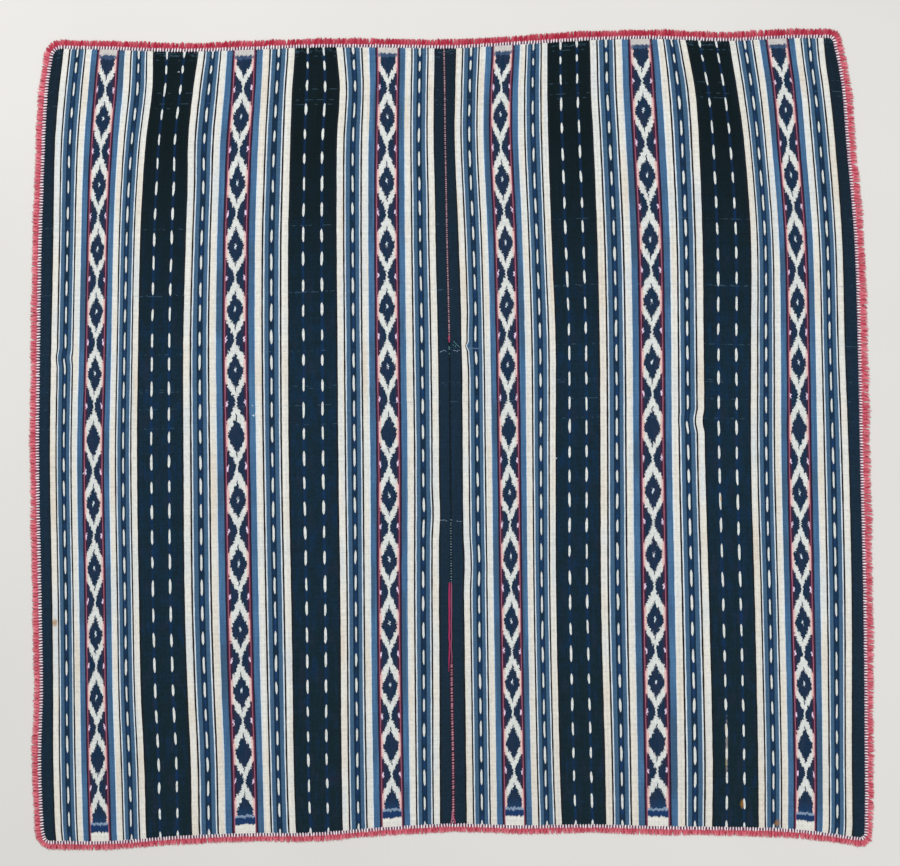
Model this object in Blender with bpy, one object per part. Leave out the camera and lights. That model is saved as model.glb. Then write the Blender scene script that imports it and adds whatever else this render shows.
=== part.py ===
"""A poncho laid out flat: two warp-striped webs sewn edge to edge, with a neck slit and a fringed edging.

The middle of the underside is the origin, +X runs across the stripes and +Y runs along them.
Each web is one thin sheet with the outline and the low ripples of the cloth as it lies.
The edging is a woven heading with fringe locks, cut at the four corners and butted to the cloth's edge.
"""

import math
from collections import namedtuple

import bmesh
import bpy
from mathutils import Vector

MM = 0.001

# Thickness of the cloth, of the heading and of the fringe at its tips
CLOTH_THICK = 1.5 * MM
HEADING_THICK = 2.0 * MM
FRINGE_THICK = 1.2 * MM

# Pieces that touch keep this gap
GAP = 0.3 * MM

# The neck slit is the unsewn stretch of the seam, nearly closed as it lies
SLIT_TOP = 152 * MM
SLIT_BOTTOM = -142 * MM
SLIT_OPEN = 1.6 * MM

# Heading and fringe locks
HEADING_WIDTH = 7.4 * MM
LOCK_PITCH = 20.0 * MM
LOCK_SHARE = 0.8
LOCK_TAPER = 0.72
LOCK_LEAN = 1.5 * MM
LOCK_RAGGED = 0.09
RAGGED_STEP = 2.4

# The middle of the whole outline, fringe included, on the sheet that the tables below are read on
MIDDLE = Vector((-0.4, -0.6, 0.0)) * MM

# A web's width, near enough to place the columns of its mesh
WEB_WIDTH = 712 * MM

# Rows of faces along the warp, columns across it, and the turns of a rounded corner
ROWS = 20
COLUMNS = 18
CORNER_COLUMNS = 3
CORNER_REACH = 12 * MM

# Edges of the cloth and the seam, read across at stations along the warp, in millimetres
Station = namedtuple("Station", "along left_edge seam right_edge")
LIE = (
    Station(-702, -711.5, 2.3, 720.0),
    Station(-675, -715.2, 2.3, 721.7),
    Station(-562, -720.1, 1.8, 722.6),
    Station(-282, -719.6, -2.1, 720.0),
    Station(-37, -722.9, -2.6, 714.9),
    Station(165, -722.9, -3.7, 711.2),
    Station(348, -719.1, -8.8, 704.9),
    Station(523, -712.4, -11.9, 689.7),
    Station(611, -707.2, -12.8, 682.2),
    Station(663, -699.7, -13.7, 673.4),
    Station(704, -692.0, -14.0, 664.0),
)

# The two ends of the cloth, read along the warp at stations across it, in millimetres
Ending = namedtuple("Ending", "across top bottom")
ENDS = (
    Ending(-720, 683.5, -703.0),
    Ending(-600, 681.3, -703.5),
    Ending(-480, 677.6, -694.8),
    Ending(-360, 680.8, -690.0),
    Ending(-240, 685.3, -689.0),
    Ending(-120, 685.0, -679.5),
    Ending(0, 683.7, -673.2),
    Ending(120, 690.4, -676.0),
    Ending(240, 697.7, -674.6),
    Ending(360, 700.0, -677.3),
    Ending(480, 696.5, -679.0),
    Ending(600, 701.4, -682.9),
    Ending(720, 701.8, -698.0),
)

# Low ripples where the cloth lifts off the surface: middle, length, turn from the warp, half width and height
Ripple = namedtuple("Ripple", "across along length turn_deg half_width height")
RIPPLES = (
    Ripple(-474, 560, 190, 4, 70, 5.5),
    Ripple(-236, 520, 300, 2, 75, 4.5),
    Ripple(-20, 530, 260, 0, 80, 4.5),
    Ripple(206, 545, 270, -3, 75, 5.0),
    Ripple(436, 585, 180, -8, 70, 6.0),
    Ripple(-560, -470, 330, -2, 75, 3.5),
    Ripple(330, -500, 300, 3, 75, 3.5),
)

# The radius of the cloth's rounded corners
CORNER_RADIUS = {
    ("left", "top"): 12 * MM,
    ("left", "bottom"): 9 * MM,
    ("right", "top"): 5 * MM,
    ("right", "bottom"): 7 * MM,
}

# Length of the fringe at the start, middle and end of each edging, going round clockwise, in millimetres
Fringe = namedtuple("Fringe", "start middle end")
FRINGES = {
    "left": Fringe(6.6, 6.0, 7.2),
    "top": Fringe(7.4, 7.6, 7.8),
    "right": Fringe(9.5, 9.0, 5.0),
    "bottom": Fringe(6.6, 6.6, 6.8),
}

# Colour, linear, and roughness of the two finishes
CLOTH_FINISH = ((0.060, 0.095, 0.160, 1.0), 0.92)
EDGING_FINISH = ((0.600, 0.100, 0.150, 1.0), 0.88)


def smooth(rows, key, column, at):
    """Read a column of a table at a place between its rows, along a smooth curve."""
    keys = [getattr(row, key) for row in rows]
    values = [getattr(row, column) for row in rows]
    last = len(rows) - 1
    at = min(max(at, keys[0]), keys[last])
    low = max(index for index in range(last) if keys[index] <= at or index == 0)

    def slope(index):
        before = max(index - 1, 0)
        after = min(index + 1, last)
        return (values[after] - values[before]) / (keys[after] - keys[before])

    span = keys[low + 1] - keys[low]
    t = (at - keys[low]) / span
    start = (1 + 2 * t) * (1 - t) ** 2 * values[low] + t * (1 - t) ** 2 * span * slope(low)
    end = t * t * (3 - 2 * t) * values[low + 1] - t * t * (1 - t) * span * slope(low + 1)
    return start + end


def seam_gap(y):
    """Half the width between the two webs' inner edges, a little more along the neck slit."""
    share = (y - SLIT_BOTTOM) / (SLIT_TOP - SLIT_BOTTOM)
    lens = math.sin(math.pi * share) if 0 < share < 1 else 0.0
    return (GAP + (SLIT_OPEN - GAP) * lens) / 2


def web_edges(side, y):
    """The outer edge and the seam edge of one web, across, at a height y along the warp."""
    outer = smooth(LIE, "along", side + "_edge", y / MM) * MM
    seam = smooth(LIE, "along", "seam", y / MM) * MM
    toward = -1 if side == "left" else 1
    return outer, seam + toward * seam_gap(y)


def corner_drop(side, end, inward):
    """How far the rounded corner draws the end of the cloth back, at a distance in from the outer edge."""
    radius = CORNER_RADIUS[side, end]
    if inward >= radius:
        return 0.0
    return radius - math.sqrt(radius ** 2 - (radius - inward) ** 2)


def web_end(side, end, share):
    """The end of the cloth, along the warp, at a share of the web's width in from its outer edge."""
    middle = ENDS[len(ENDS) // 2]
    outer, seam = web_edges(side, getattr(middle, end) * MM)
    across = outer + (seam - outer) * share
    reach = smooth(ENDS, "across", end, across / MM) * MM
    return reach - math.copysign(corner_drop(side, end, abs(across - outer)), reach)


def column_share(column):
    """Share of the web's width, from the outer edge, at a column of the mesh: close set at the corner."""
    corner = CORNER_REACH / WEB_WIDTH
    if column <= CORNER_COLUMNS:
        return corner * (1 - math.cos(math.radians(90) * column / CORNER_COLUMNS))
    return corner + (1 - corner) * (column - CORNER_COLUMNS) / COLUMNS


def web_point(side, column, row):
    """The place of a mesh point of one web, in plan."""
    share = column_share(column)
    low = web_end(side, "bottom", share)
    high = web_end(side, "top", share)
    y = low + (high - low) * row / ROWS
    outer, seam = web_edges(side, y)
    return Vector((outer + (seam - outer) * share, y, 0.0)) - MIDDLE


def ripple_height(x, y):
    """How far the cloth lifts off the surface at a place."""
    height = 0.0
    for ripple in RIPPLES:
        turn = math.radians(ripple.turn_deg)
        dx = x / MM - ripple.across
        dy = y / MM - ripple.along
        along = (dy * math.cos(turn) - dx * math.sin(turn)) / (ripple.length / 2)
        across = (dx * math.cos(turn) + dy * math.sin(turn)) / ripple.half_width
        if abs(along) < 1 and abs(across) < 1:
            height += ripple.height * MM * (1 - along ** 2) ** 2 * (1 - across ** 2) ** 2
    return height


def finish(name, look):
    """A plain material of one colour and roughness."""
    colour, roughness = look
    material = bpy.data.materials.new(name)
    material.use_nodes = True
    shader = material.node_tree.nodes["Principled BSDF"]
    shader.inputs["Base Color"].default_value = colour
    shader.inputs["Roughness"].default_value = roughness
    shader.inputs["Metallic"].default_value = 0.0
    return material


def add_object(name, bm, look):
    """Make an object of a finished bmesh, with a material of its own."""
    bmesh.ops.recalc_face_normals(bm, faces=bm.faces)
    mesh = bpy.data.meshes.new(name)
    bm.to_mesh(mesh)
    bm.free()
    mesh.materials.append(finish(name, look))
    piece = bpy.data.objects.new(name, mesh)
    bpy.context.scene.collection.objects.link(piece)


def thicken(bm, heights):
    """Raise a copy of every face by each point's own height, and close the sides."""
    bottom = list(bm.verts)
    flat = {vert: vert.co.copy() for vert in bottom}
    raised = bmesh.ops.extrude_face_region(bm, geom=list(bm.faces))
    for piece in raised["geom"]:
        if isinstance(piece, bmesh.types.BMVert):
            source = min(flat, key=lambda vert: (flat[vert] - piece.co).length_squared)
            piece.co.z += heights[source]


def grid_columns(bm, columns):
    """The columns of a fresh grid, each a list of its points from bottom to top."""
    lines = [[] for _ in range(columns + 1)]
    for vert in sorted(bm.verts, key=lambda vert: vert.co.y):
        lines[round((vert.co.x + 1) / 2 * columns)].append(vert)
    return lines


def build_web(side):
    """One web: a sheet with the outline and the ripples of the cloth as it lies."""
    columns = CORNER_COLUMNS + COLUMNS
    bm = bmesh.new()
    bmesh.ops.create_grid(bm, x_segments=columns, y_segments=ROWS, size=1)
    for column, line in enumerate(grid_columns(bm, columns)):
        for row, vert in enumerate(line):
            vert.co = web_point(side, column, row)
            vert.co.z = ripple_height(vert.co.x, vert.co.y)
    heights = {vert: CLOTH_THICK for vert in bm.verts}
    thicken(bm, heights)
    add_object("web_" + side, bm, CLOTH_FINISH)


def edging_paths():
    """The cloth's outline, cut at the corners into four runs of points that go round clockwise."""
    last = CORNER_COLUMNS + COLUMNS
    left_side = [web_point("left", 0, row) for row in range(ROWS + 1)]
    right_side = [web_point("right", 0, row) for row in range(ROWS + 1)]
    paths = {}
    ends = {}
    for end, row in (("top", ROWS), ("bottom", 0)):
        left = [web_point("left", column, row) for column in range(1, last + 1)]
        right = [web_point("right", column, row) for column in range(1, last + 1)]
        seam = (left[-1] + right[-1]) / 2
        ends[end] = left[:-1] + [seam] + right[-2::-1]
    paths["left"] = [ends["bottom"][0]] + left_side + [ends["top"][0]]
    paths["top"] = ends["top"]
    paths["right"] = [ends["top"][-1]] + right_side[::-1] + [ends["bottom"][-1]]
    paths["bottom"] = ends["bottom"][::-1]
    return paths


def outward(start, end):
    """The direction away from the cloth, square to a stretch of its outline."""
    run = (end - start).normalized()
    return Vector((-run.y, run.x, 0.0))


def corner_way(before, at, after):
    """At a bend of the outline, the way that keeps an edge parallel on both sides."""
    first = outward(before, at)
    second = outward(at, after)
    middle = (first + second).normalized()
    return middle / middle.dot(first)


def edging_stations(path, before, after):
    """Stations along one edging: place on the outline, way outward, and the locks' roots.

    Each stretch of the outline holds a whole number of locks. A station that starts a lock is marked.
    """
    points = [before] + path + [after]
    ways = [corner_way(*points[index:index + 3]) for index in range(len(path))]
    stations = []
    for index in range(len(path) - 1):
        start, end = path[index], path[index + 1]
        first, second = ways[index], ways[index + 1]
        outer_length = ((end + second * HEADING_WIDTH) - (start + first * HEADING_WIDTH)).length
        locks = max(1, round(outer_length / LOCK_PITCH))
        for lock in range(locks):
            for share, begins in ((lock / locks, True), ((lock + LOCK_SHARE) / locks, False)):
                stations.append((start.lerp(end, share), first.lerp(second, share), begins))
    stations.append((path[-1], ways[-1], False))
    return stations


def fringe_length(side, share, number):
    """Length of one lock, by its place along the edging, with a slow ragged change."""
    fringe = FRINGES[side]
    if share < 0.5:
        length = fringe.start + (fringe.middle - fringe.start) * share * 2
    else:
        length = fringe.middle + (fringe.end - fringe.middle) * (share - 0.5) * 2
    return length * MM * (1 + LOCK_RAGGED * math.sin(number * RAGGED_STEP))


def build_edging(side, path, before, after):
    """One edging: a heading along the cloth's edge, with fringe locks fused to it by their roots."""
    stations = edging_stations(path, before, after)
    last = len(stations) - 1
    run_in = (path[1] - path[0]).normalized() * GAP / 2
    run_out = (path[-1] - path[-2]).normalized() * GAP / 2
    bm = bmesh.new()
    bmesh.ops.create_grid(bm, x_segments=last, y_segments=1, size=1)
    lines = grid_columns(bm, last)
    for (place, way, _), (inner, outer) in zip(stations, lines):
        inner.co = place + way * GAP
        outer.co = place + way * (GAP + HEADING_WIDTH)
    for vert in lines[0]:
        vert.co += run_in
    for vert in lines[last]:
        vert.co -= run_out
    heights = {vert: HEADING_THICK for vert in bm.verts}
    for number, (place, way, begins) in enumerate(stations):
        if not begins:
            continue
        root = bm.edges.get((lines[number][1], lines[number + 1][1]))
        start, end = lines[number][1].co.copy(), lines[number + 1][1].co.copy()
        length = fringe_length(side, number / last, number)
        lean = (end - start).normalized() * LOCK_LEAN
        tip_middle = (start + end) / 2 + outward(start, end) * length + lean
        made = bmesh.ops.extrude_edge_only(bm, edges=[root])["geom"]
        for vert in made:
            if isinstance(vert, bmesh.types.BMVert):
                half = (vert.co - (start + end) / 2) * LOCK_TAPER
                vert.co = tip_middle + half
                heights[vert] = FRINGE_THICK
    thicken(bm, heights)
    add_object("edging_" + side, bm, EDGING_FINISH)


def build_poncho():
    """Both webs, then the edging round them."""
    for side in ("left", "right"):
        build_web(side)
    paths = edging_paths()
    order = ("left", "top", "right", "bottom")
    for index, side in enumerate(order):
        before = paths[order[index - 1]][-2]
        after = paths[order[(index + 1) % len(order)]][1]
        build_edging(side, paths[side], before, after)


for old in list(bpy.data.objects):
    bpy.data.objects.remove(old, do_unlink=True)
build_poncho()
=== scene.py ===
"""A poncho laid out flat: two ikat webs sewn edge to edge, with a neck slit and a fringed edging.

The file goes as the poncho is put together: the woven webs, the heading of the edging, its fringe,
the sewing of the middle seam, and then the floor, the light and the camera.
"""

import math
import random
from collections import namedtuple

import bmesh
import bpy
from mathutils import Matrix, Vector


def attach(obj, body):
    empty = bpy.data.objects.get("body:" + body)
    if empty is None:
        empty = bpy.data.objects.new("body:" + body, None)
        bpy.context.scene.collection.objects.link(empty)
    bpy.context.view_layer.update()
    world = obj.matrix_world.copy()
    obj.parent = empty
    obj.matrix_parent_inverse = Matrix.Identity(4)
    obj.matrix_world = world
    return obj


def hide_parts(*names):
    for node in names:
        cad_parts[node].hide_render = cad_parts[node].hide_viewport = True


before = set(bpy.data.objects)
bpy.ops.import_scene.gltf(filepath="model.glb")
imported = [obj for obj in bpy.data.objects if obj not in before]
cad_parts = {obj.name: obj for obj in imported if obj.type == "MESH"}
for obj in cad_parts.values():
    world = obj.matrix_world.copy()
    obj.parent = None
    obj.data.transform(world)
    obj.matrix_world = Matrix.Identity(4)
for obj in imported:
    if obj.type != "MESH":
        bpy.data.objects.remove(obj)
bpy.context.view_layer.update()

# The two webs
# Each is one warp-faced length of fine hard-spun yarn, with its selvedges and turned ends. It lies flat
# but for low ripples along the warp, and its stripes wander a little, so they are laid by lines read off.
MM = 0.001
CLOTH_THICK = 1.5 * MM
SELVEDGE_THIN = 0.55
SELVEDGE_REACH = 3
GAP = 0.3 * MM
SLIT_TOP = 152 * MM
SLIT_BOTTOM = -142 * MM
SLIT_OPEN = 0.16 * MM
SEAM_GAP = 0.08 * MM

# The middle of the whole outline, fringe included, on the sheet that the tables below are read on
MIDDLE = Vector((-0.4, -0.6, 0.0)) * MM

# Across one web, in millimetres of the weave from the outer edge to the seam
EDGE_NAVY = 21
HALF_GROUP = 87.5
WIDE_NAVY = 80.5
BAND_PITCH = 2 * HALF_GROUP + WIDE_NAVY
FIRST_BAND = EDGE_NAVY + HALF_GROUP
WEAVE_WIDTH = 2 * EDGE_NAVY + 6 * HALF_GROUP + 2 * WIDE_NAVY
WEAVE_LENGTH = 1379

# Cells of the mesh, and the close-set columns at a rounded corner
CELL = 7
CORNER_REACH = 12
CORNER_TURNS = 6

# Where the warp lines of each web lie across, at heights along the warp, in millimetres. They start with the
# outer edge, and each ikat band has one line before it, one down its middle and one after it.
LINES = {
    "left": {
        -702: (-711.5, -692, -616, -535, -454, -360, -272, -190, -103, -20),
        -675: (-715.2, -694, -617, -536, -455, -361, -274, -191, -104, -21),
        -562: (-719.4, -697, -620, -539, -457, -363.5, -277.5, -193, -106, -22),
        -439: (-716.2, -697.5, -622.5, -544.5, -462.5, -368, -279, -194, -108.5, -22),
        -282: (-718.8, -699, -624.5, -548, -467.5, -372, -281.5, -195, -110, -23),
        -37: (-722.9, -703, -628, -551.5, -469.5, -376, -286, -198.5, -110, -23),
        165: (-721.4, -700.5, -623.5, -549.5, -470, -379.5, -287, -200, -113, -25),
        348: (-718.4, -697, -620, -546, -465.5, -378.5, -287, -201.5, -114, -29),
        436: (-715.5, -696, -617.5, -542, -462.5, -376, -285, -201.5, -114, -30.5),
        523: (-712.4, -694, -613, -535.5, -461, -372, -283, -200.7, -113.5, -32.5),
        611: (-707.2, -687, -606.5, -524.5, -452.5, -365.5, -280, -196, -112.5, -32),
        663: (-699.7, -681, -602.5, -523.5, -445, -364, -276, -200, -111.5, -31),
        704: (-692.0, -677, -598, -523, -440, -363, -274, -204, -111.5, -31),
    },
    "right": {
        -702: (720.0, 698, 617, 538, 455, 361.5, 270, 193, 110, 27.5),
        -675: (721.7, 700, 618, 537, 455, 360.5, 270, 192, 110, 26.5),
        -562: (721.8, 699, 618.5, 536, 456, 358.5, 268, 188, 108, 25),
        -282: (719.2, 699, 612.5, 530, 449.5, 354.5, 261, 182, 103.5, 21.5),
        -37: (713.6, 694, 607.5, 523.5, 442.5, 351, 260, 181, 100, 19),
        165: (709.6, 686.5, 606, 523.5, 440, 350, 258.5, 181, 96.5, 17.5),
        348: (703.6, 682, 601, 523.5, 438, 347, 254.5, 174, 93, 12),
        523: (689.0, 669.5, 587.5, 511, 431.5, 338, 247.5, 168, 85, 5),
        611: (682.2, 660, 581, 499, 424.5, 333, 243, 166.5, 85.5, 6),
        663: (673.4, 653, 574, 490.5, 415.5, 331.5, 242, 166.5, 89, 7),
        704: (664.0, 650, 568, 484, 407, 329.5, 241, 166.5, 91, 8),
    },
}

# The line of the seam, read in the same way
SEAM_LINE = {
    -702: 2.3, -675: 2.3, -562: 1.8, -439: -0.4, -282: -0.9, -37: -3.1, 165: -4.6, 348: -8.8,
    436: -10.3, 523: -11.9, 611: -12.8, 663: -13.7, 704: -14.0,
}

# The places of these lines in the weave, the last being the seam's
LINE_PLACES = (0, 21, 108.5, 196, 276.5, 364, 451.5, 532, 619.5, 707, 728)

# The two ends of the cloth, read along the warp at stations across it, in millimetres
ENDS = {
    "top": {
        -720: 683.5, -600: 681.3, -480: 677.6, -360: 680.8, -240: 685.3, -120: 685.0, 0: 683.7,
        120: 690.4, 240: 697.7, 360: 700.0, 480: 696.5, 600: 701.4, 720: 701.8,
    },
    "bottom": {
        -720: -703.0, -600: -703.5, -480: -694.8, -360: -690.0, -240: -689.0, -120: -679.5, 0: -673.2,
        120: -676.0, 240: -674.6, 360: -677.3, 480: -679.0, 600: -682.9, 720: -698.0,
    },
}

# Low ripples where the cloth lifts off the surface: the middle, length, turn and size of each
Ripple = namedtuple("Ripple", "across along length turn_deg half_width height")
RIPPLES = (
    Ripple(-474, 560, 190, 4, 70, 5.5),
    Ripple(-236, 520, 300, 2, 75, 4.5),
    Ripple(-20, 530, 260, 0, 80, 4.5),
    Ripple(206, 545, 270, -3, 75, 5.0),
    Ripple(436, 585, 180, -8, 70, 6.0),
    Ripple(-560, -470, 330, -2, 75, 3.5),
    Ripple(330, -500, 300, 3, 75, 3.5),
)

# The radius of the cloth's rounded corners
CORNER_RADIUS = {
    ("left", "top"): 12 * MM,
    ("left", "bottom"): 9 * MM,
    ("right", "top"): 5 * MM,
    ("right", "bottom"): 7 * MM,
}


def smooth(table, at):
    """Read a table at a place between its rows, along a smooth curve."""
    keys = list(table)
    values = list(table.values())
    last = len(keys) - 1
    at = min(max(at, keys[0]), keys[last])
    low = max(index for index in range(last) if keys[index] <= at or index == 0)

    def slope(index):
        before = max(index - 1, 0)
        after = min(index + 1, last)
        return (values[after] - values[before]) / (keys[after] - keys[before])

    span = keys[low + 1] - keys[low]
    t = (at - keys[low]) / span
    start = (1 + 2 * t) * (1 - t) ** 2 * values[low] + t * (1 - t) ** 2 * span * slope(low)
    end = t * t * (3 - 2 * t) * values[low + 1] - t * t * (1 - t) * span * slope(low + 1)
    return start + end


def seam_line(y):
    """Where the middle of the seam lies across, at a height y along the warp."""
    return smooth(SEAM_LINE, y / MM) * MM


def warp_line(side, number, y):
    """Where one warp line lies across, at a height y. The last is the web's edge along the seam."""
    if number < len(LINE_PLACES) - 1:
        return smooth({height: lines[number] for height, lines in LINES[side].items()}, y / MM) * MM
    share = (y - SLIT_BOTTOM) / (SLIT_TOP - SLIT_BOTTOM)
    lens = math.sin(math.pi * share) if 0 < share < 1 else 0.0
    half_gap = (SEAM_GAP + (SLIT_OPEN - SEAM_GAP) * lens) / 2
    return seam_line(y) + (-half_gap if side == "left" else half_gap)


def warp_across(side, place, y):
    """Where the yarn at a place of the weave lies across, between the two warp lines nearest to it."""
    index = max(i for i in range(len(LINE_PLACES) - 1) if LINE_PLACES[i] <= place or i == 0)
    share = (place - LINE_PLACES[index]) / (LINE_PLACES[index + 1] - LINE_PLACES[index])
    before = warp_line(side, index, y)
    return before + (warp_line(side, index + 1, y) - before) * share


def corner_drop(side, end, inward):
    """How far the rounded corner draws the end of the cloth back, at a distance in from the outer edge."""
    radius = CORNER_RADIUS[side, end]
    if inward >= radius:
        return 0.0
    return radius - math.sqrt(radius ** 2 - (radius - inward) ** 2)


def web_end(side, end, place):
    """The end of the cloth along the warp, for the yarn at a place of the weave."""
    middle = ENDS[end][0] * MM
    outer = warp_across(side, 0, middle)
    across = warp_across(side, place, middle)
    reach = smooth(ENDS[end], across / MM) * MM
    return reach - math.copysign(corner_drop(side, end, abs(across - outer)), reach)


def cloth_point(side, place, share):
    """The plan of a point of one web: its place across the weave, and its share of the way up the warp."""
    low = web_end(side, "bottom", place)
    high = web_end(side, "top", place)
    y = low + (high - low) * share
    return Vector((warp_across(side, place, y), y, 0.0)) - MIDDLE


def ripple_height(x, y):
    """How far the cloth lifts off the surface at a place."""
    height = 0.0
    for ripple in RIPPLES:
        turn = math.radians(ripple.turn_deg)
        dx = x / MM - ripple.across
        dy = y / MM - ripple.along
        along = (dy * math.cos(turn) - dx * math.sin(turn)) / (ripple.length / 2)
        across = (dx * math.cos(turn) + dy * math.sin(turn)) / ripple.half_width
        if abs(along) < 1 and abs(across) < 1:
            height += ripple.height * MM * (1 - along ** 2) ** 2 * (1 - across ** 2) ** 2
    return height


def corner_places():
    """Places across the weave of the close-set columns at a rounded corner."""
    turn = math.radians(90) / CORNER_TURNS
    return [CORNER_REACH * (1 - math.cos(turn * number)) for number in range(CORNER_TURNS)]


def web_places():
    """Places across the weave of all columns of a web's mesh."""
    count = round((WEAVE_WIDTH - CORNER_REACH) / CELL)
    step = (WEAVE_WIDTH - CORNER_REACH) / count
    return corner_places() + [CORNER_REACH + step * number for number in range(count + 1)]


def grid_lines(bm, columns):
    """The columns of a fresh grid, each a list of its points from bottom to top."""
    lines = [[] for _ in range(columns + 1)]
    for vert in sorted(bm.verts, key=lambda vert: vert.co.y):
        lines[round((vert.co.x + 1) / 2 * columns)].append(vert)
    return lines


def raise_faces(bm, layer):
    """Raise a copy of every face by the height kept in a layer of the points, and close the sides."""
    for piece in bmesh.ops.extrude_face_region(bm, geom=bm.faces[:])["geom"]:
        if isinstance(piece, bmesh.types.BMVert):
            piece.co.z += piece[layer]
    bmesh.ops.recalc_face_normals(bm, faces=bm.faces)


def finished_mesh(name, bm):
    """The mesh of a finished bmesh."""
    mesh = bpy.data.meshes.new(name)
    bm.to_mesh(mesh)
    bm.free()
    return mesh


def add_object(name, data):
    """A new object in the scene."""
    made = bpy.data.objects.new(name, data)
    bpy.context.scene.collection.objects.link(made)
    return made


def add_piece(name, bm, material, replaced=()):
    """Make an object of a finished bmesh, riding with the poncho in place of its plain solids."""
    mesh = finished_mesh(name, bm)
    mesh.shade_smooth()
    mesh.set_sharp_from_angle(angle=math.radians(50))
    mesh.materials.append(material)
    piece = add_object(name, mesh)
    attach(piece, "root")
    if replaced:
        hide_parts(*replaced)
    return piece


def build_web(side, material):
    """One web. Every point keeps its place in the weave, across from the outer edge and down the warp."""
    places = web_places()
    rows = round(WEAVE_LENGTH / CELL)
    sign = 1 if side == "left" else -1
    bm = bmesh.new()
    weave = bm.verts.layers.float_vector.new("weave")
    thickness = bm.verts.layers.float.new("thickness")
    bmesh.ops.create_grid(bm, x_segments=len(places) - 1, y_segments=rows, size=1)
    for place, line in zip(places, grid_lines(bm, len(places) - 1)):
        low = web_end(side, "bottom", place)
        high = web_end(side, "top", place)
        for row, vert in enumerate(line):
            y = low + (high - low) * row / rows
            vert.co = Vector((warp_across(side, place, y), y, 0.0)) - MIDDLE
            vert.co.z = ripple_height(vert.co.x, vert.co.y)
            down = WEAVE_LENGTH * (1 - row / rows)
            vert[weave] = (sign * place, down, 0.0)
            border = min(place, WEAVE_WIDTH - place, down, WEAVE_LENGTH - down)
            full = min(1.0, border / SELVEDGE_REACH)
            vert[thickness] = CLOTH_THICK * (SELVEDGE_THIN + (1 - SELVEDGE_THIN) * full)
    raise_faces(bm, thickness)
    piece = add_piece("woven_" + side, bm, material, ["web_" + side])


class Wire:
    """One output of a material's nodes, which can be used in plain arithmetic."""

    def __init__(self, tree, socket=None):
        self.tree = tree
        self.socket = socket

    def node(self, kind, inputs=(), output=0, stops=(), blended=False, **settings):
        """Add a node with its settings, fill its sockets with numbers or wires, and return one output."""
        made = self.tree.nodes.new(kind)
        for name, setting in settings.items():
            setattr(made, name, setting)
        if stops:
            ramp = made.color_ramp
            ramp.interpolation = "LINEAR" if blended else "CONSTANT"
            ramp.elements.remove(ramp.elements[1])
            ramp.elements[0].position, ramp.elements[0].color = stops[0]
            for place, shade in stops[1:]:
                ramp.elements.new(place).color = shade
        for key, given in dict(inputs).items():
            if isinstance(given, Wire):
                self.tree.links.new(given.socket, made.inputs[key])
            else:
                made.inputs[key].default_value = given
        return Wire(self.tree, made.outputs[output])

    def math(self, operation, *values, clamp=False):
        return self.node("ShaderNodeMath", dict(enumerate(values)), operation=operation, use_clamp=clamp)

    def __add__(self, other):
        return self.math("ADD", self, other)

    __radd__ = __add__

    def __mul__(self, other):
        return self.math("MULTIPLY", self, other)

    __rmul__ = __mul__

    def __sub__(self, other):
        return self.math("SUBTRACT", self, other)

    def __rsub__(self, other):
        return self.math("SUBTRACT", other, self)

    def __truediv__(self, other):
        return self.math("DIVIDE", self, other)

    def __rtruediv__(self, other):
        return self.math("DIVIDE", other, self)

    def __mod__(self, other):
        return self.math("FLOORED_MODULO", self, other)

    def __gt__(self, other):
        return self.math("GREATER_THAN", self, other)

    def __lt__(self, other):
        return self.math("LESS_THAN", self, other)

    def __abs__(self):
        return self.math("ABSOLUTE", self)

    def floor(self):
        return self.math("FLOOR", self)

    def sine(self):
        return self.math("SINE", self)

    def larger(self, other):
        """This or the other, whichever is the larger."""
        return self.math("MAXIMUM", self, other)

    def rise(self, reach, start=0):
        """Nought up to start, then rising to one over a reach."""
        return self.math("DIVIDE", self - start, reach, clamp=True)

    def same_as(self, number):
        """One where this is a whole number's own step, and nought elsewhere."""
        return self.math("COMPARE", self, number, 0.5)

    def between(self, first, second):
        """A colour from the first to the second, by this share."""
        return self.node("ShaderNodeMix", {0: self, 6: first, 7: second}, output=2, data_type="RGBA")

    def dyed(self, *layers):
        """This colour, with others laid over it in turn, each by its own share."""
        colour = self
        for share, over in layers:
            colour = share.between(colour, over)
        return colour

    def part(self, number):
        """One of the three numbers of a vector."""
        return self.node("ShaderNodeSeparateXYZ", {0: self}, output=number)

    def chance(self, other=0.0):
        """A steady random number from nought to one for each pair of numbers."""
        pair = self.node("ShaderNodeCombineXYZ", {0: self, 1: other})
        return self.node("ShaderNodeTexWhiteNoise", {"Vector": pair}, noise_dimensions="2D")

    def drift(self, other, detail=2.0):
        """A smooth random number from nought to one over a pair of places."""
        pair = self.node("ShaderNodeCombineXYZ", {0: self, 1: other})
        sockets = {"Vector": pair, "Scale": 1.0, "Detail": detail}
        return self.node("ShaderNodeTexNoise", sockets, noise_dimensions="2D")


def shade(red, green, blue):
    """A yarn's colour in linear light, from its look on a screen."""
    return tuple((part / 255) ** 2.2 for part in (red, green, blue)) + (1.0,)


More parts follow.
